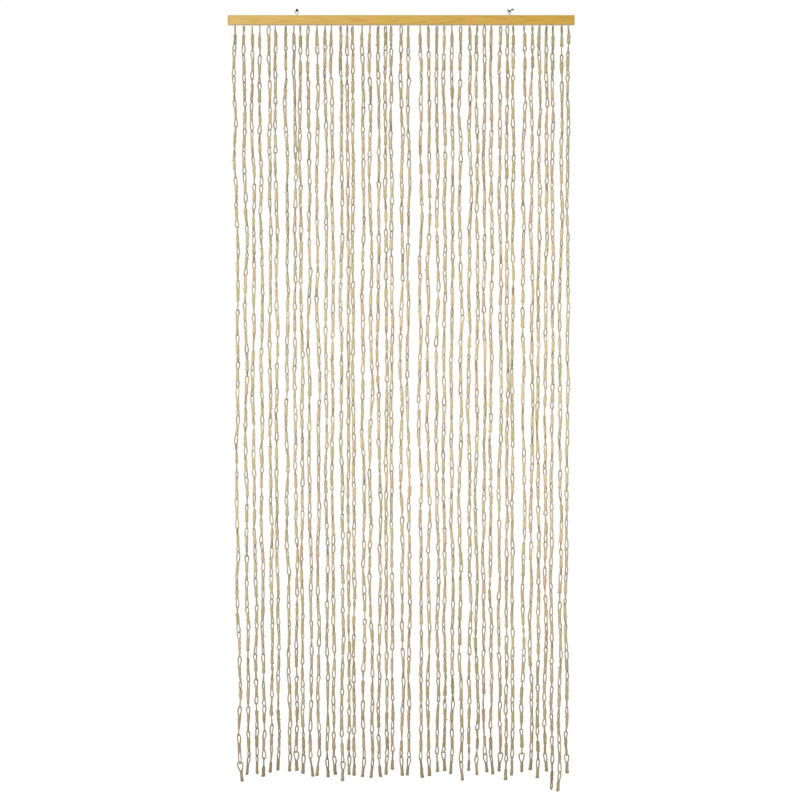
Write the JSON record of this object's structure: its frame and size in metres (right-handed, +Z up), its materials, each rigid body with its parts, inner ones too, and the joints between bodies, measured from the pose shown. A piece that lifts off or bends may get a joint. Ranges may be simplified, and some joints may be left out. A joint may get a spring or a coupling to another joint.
{
  "type": "string door curtain with wooden hanging bar and wall hooks",
  "caption": "Door curtain of hanging chains made from wrapped straw-like husk links, fixed under a slim wooden bar that hangs from wire eyes on wall hooks.",
  "frame": {"origin": "on the wall plane, level with the wall hooks' shanks, at the middle of the bar's length", "axes": "+Z up, +X along the bar to the right as seen from the room, +Y into the wall"},
  "size_m": [0.9, 0.0325, 2.0307],
  "materials": {
    "varnished_pine": "satin clear varnish, honey-coloured, straight grain",
    "maize_husk": "dry fibrous husk, matte with a faint sheen",
    "zinc_wire": "bright zinc coating",
    "black_wire": "black coating, semi-gloss"
  },
  "bodies": {
    "root": {"bar": "varnished_pine", "strands_left": "maize_husk", "strands_right": "maize_husk", "screw_eye_left": "zinc_wire", "screw_eye_right": "zinc_wire", "wall_hook_left": "black_wire", "wall_hook_right": "black_wire"}
  },
  "joints": []
}
